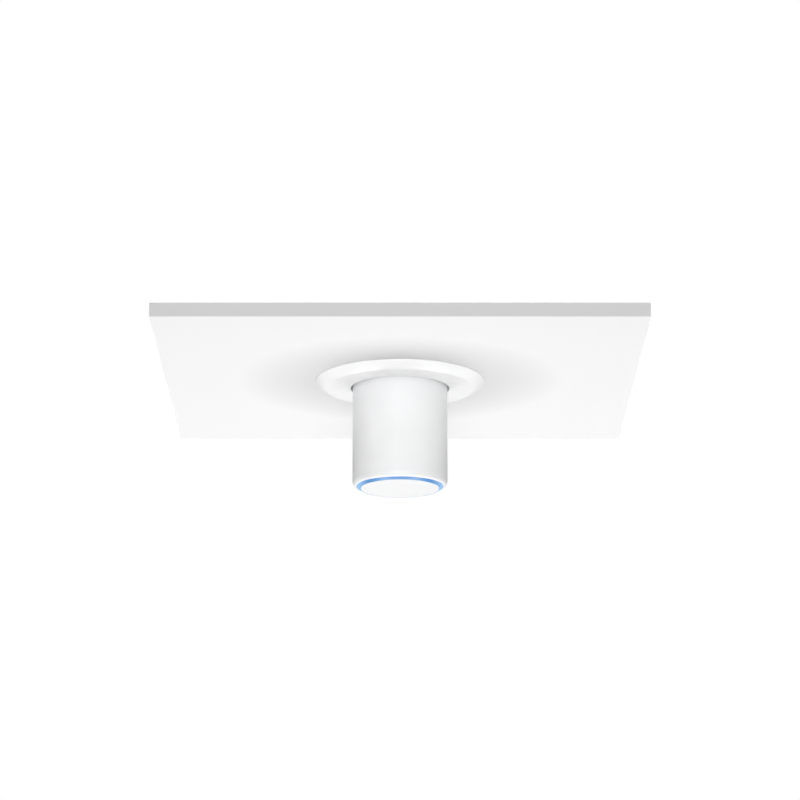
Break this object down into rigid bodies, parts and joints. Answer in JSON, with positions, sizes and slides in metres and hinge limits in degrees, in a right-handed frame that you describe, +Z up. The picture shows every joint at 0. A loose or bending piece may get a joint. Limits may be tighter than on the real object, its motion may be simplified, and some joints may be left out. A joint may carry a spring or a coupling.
{
  "type": "ceiling access point",
  "caption": "Cylindrical wireless access point with a lit ring round its end, hanging from a round flush ceiling mount with a domed trim ring.",
  "frame": {"origin": "centre of the ceiling cut-out, on the face of the ceiling, which the back of the mount flange rests on", "axes": "+Z up into the ceiling void, the access point hangs down along -Z; the network socket is on the +Y side of the base"},
  "size_m": [0.1968, 0.1968, 0.1701],
  "materials": {
    "white_plastic": "satin moulded plastic",
    "mount_plastic": "fine moulded texture",
    "light_guide": "translucent, lit blue",
    "black_nylon": "matt moulded nylon",
    "zinc_steel": "bright zinc plating",
    "galvanised_sheet": "galvanised sheet",
    "brass": "turned or stamped, bright",
    "circuit_board": "solder-resist lacquer",
    "white_board": "white solder-resist lacquer",
    "led_package": "moulded, phosphor window",
    "aluminium": "die-cast, as cast",
    "tinned_shield": "tin plate",
    "thermal_pad": "soft silicone",
    "antenna_carrier": "fine moulded texture",
    "coax_jacket": "extruded jacket",
    "seal_rubber": "moulded rubber"
  },
  "bodies": {
    "ceiling_mount": {"bayonet_plate": "galvanised_sheet", "bayonet_stud_1": "zinc_steel", "bayonet_stud_2": "zinc_steel", "bayonet_stud_3": "zinc_steel", "mount_base": "mount_plastic", "plate_screw_1": "zinc_steel", "plate_screw_2": "zinc_steel", "plate_screw_3": "zinc_steel", "trim_ring": "white_plastic"},
    "access_point": {"antenna_1": "brass", "antenna_2": "brass", "antenna_3": "brass", "antenna_4": "brass", "antenna_coax_1": "coax_jacket", "antenna_coax_2": "coax_jacket", "antenna_coax_3": "coax_jacket", "antenna_coax_4": "coax_jacket", "antenna_frame": "antenna_carrier", "base_cap": "white_plastic", "base_screw_1": "zinc_steel", "base_screw_2": "zinc_steel", "base_screw_3": "zinc_steel", "board_screw_1": "zinc_steel", "board_screw_2": "zinc_steel", "board_screw_3": "zinc_steel", "board_screw_4": "zinc_steel", "end_disc": "white_plastic", "ethernet_transformer": "black_nylon", "heat_sink": "aluminium", "jack_contacts": "brass", "led_1": "led_package", "led_2": "led_package", "led_3": "led_package", "led_4": "led_package", "led_5": "led_package", "led_6": "led_package", "led_board": "white_board", "light_ring": "light_guide", "main_board": "circuit_board", "outer_shell": "white_plastic", "radio_board": "circuit_board", "reset_switch": "black_nylon", "rj45_jack": "tinned_shield", "seal_ring": "seal_rubber", "shield_can_1": "tinned_shield", "shield_can_2": "tinned_shield", "thermal_pad_1": "thermal_pad", "thermal_pad_2": "thermal_pad"},
    "reset_button": {"reset_button": "antenna_carrier"},
    "clamp_screw_1": {"clamp_screw_1": "zinc_steel"},
    "clamp_nut_1": {"clamp_nut_1": "brass"},
    "clamp_dog_1": {"clamp_dog_1": "black_nylon"},
    "clamp_screw_2": {"clamp_screw_2": "zinc_steel"},
    "clamp_nut_2": {"clamp_nut_2": "brass"},
    "clamp_dog_2": {"clamp_dog_2": "black_nylon"},
    "clamp_screw_3": {"clamp_screw_3": "zinc_steel"},
    "clamp_nut_3": {"clamp_nut_3": "brass"},
    "clamp_dog_3": {"clamp_dog_3": "black_nylon"}
  },
  "joints": [
    {"name": "can_twist", "type": "hinge", "parent": "ceiling_mount", "child": "access_point", "pos_m": [0, 0, 0.026], "axis": [0, 0, -1], "range_deg": [0, 18]},
    {"name": "reset_press", "type": "slide", "parent": "access_point", "child": "reset_button", "axis": [0, 0, -1], "range_m": [0, 0.0006], "stiffness_N_per_m": 2500},
    {"name": "nut_travel_1", "type": "slide", "parent": "ceiling_mount", "child": "clamp_nut_1", "axis": [0, 0, 1], "range_m": [-0.005, 0.007]},
    {"name": "screw_turn_1", "type": "hinge", "parent": "ceiling_mount", "child": "clamp_screw_1", "pos_m": [0, 0.068, 0], "axis": [0, 0, 1], "range_deg": [-3602, 2574]},
    {"name": "dog_swing_1", "type": "hinge", "parent": "clamp_nut_1", "child": "clamp_dog_1", "pos_m": [0, 0.068, 0.02], "axis": [0, 0, -1], "range_deg": [0, 90]},
    {"name": "nut_travel_2", "type": "slide", "parent": "ceiling_mount", "child": "clamp_nut_2", "axis": [0, 0, 1], "range_m": [-0.005, 0.007]},
    {"name": "screw_turn_2", "type": "hinge", "parent": "ceiling_mount", "child": "clamp_screw_2", "pos_m": [-0.05889, -0.034, 0], "axis": [0, 0, 1], "range_deg": [-3602, 2574]},
    {"name": "dog_swing_2", "type": "hinge", "parent": "clamp_nut_2", "child": "clamp_dog_2", "pos_m": [-0.05889, -0.034, 0.02], "axis": [0, 0, -1], "range_deg": [0, 90]},
    {"name": "nut_travel_3", "type": "slide", "parent": "ceiling_mount", "child": "clamp_nut_3", "axis": [0, 0, 1], "range_m": [-0.005, 0.007]},
    {"name": "screw_turn_3", "type": "hinge", "parent": "ceiling_mount", "child": "clamp_screw_3", "pos_m": [0.05889, -0.034, 0], "axis": [0, 0, 1], "range_deg": [-3602, 2574]},
    {"name": "dog_swing_3", "type": "hinge", "parent": "clamp_nut_3", "child": "clamp_dog_3", "pos_m": [0.05889, -0.034, 0.02], "axis": [0, 0, -1], "range_deg": [0, 90]}
  ],
  "couplings": [
    {"joint": "screw_turn_1", "follows": "nut_travel_1", "rad_per_m": -8976},
    {"joint": "screw_turn_2", "follows": "nut_travel_2", "rad_per_m": -8976},
    {"joint": "screw_turn_3", "follows": "nut_travel_3", "rad_per_m": -8976}
  ]
}
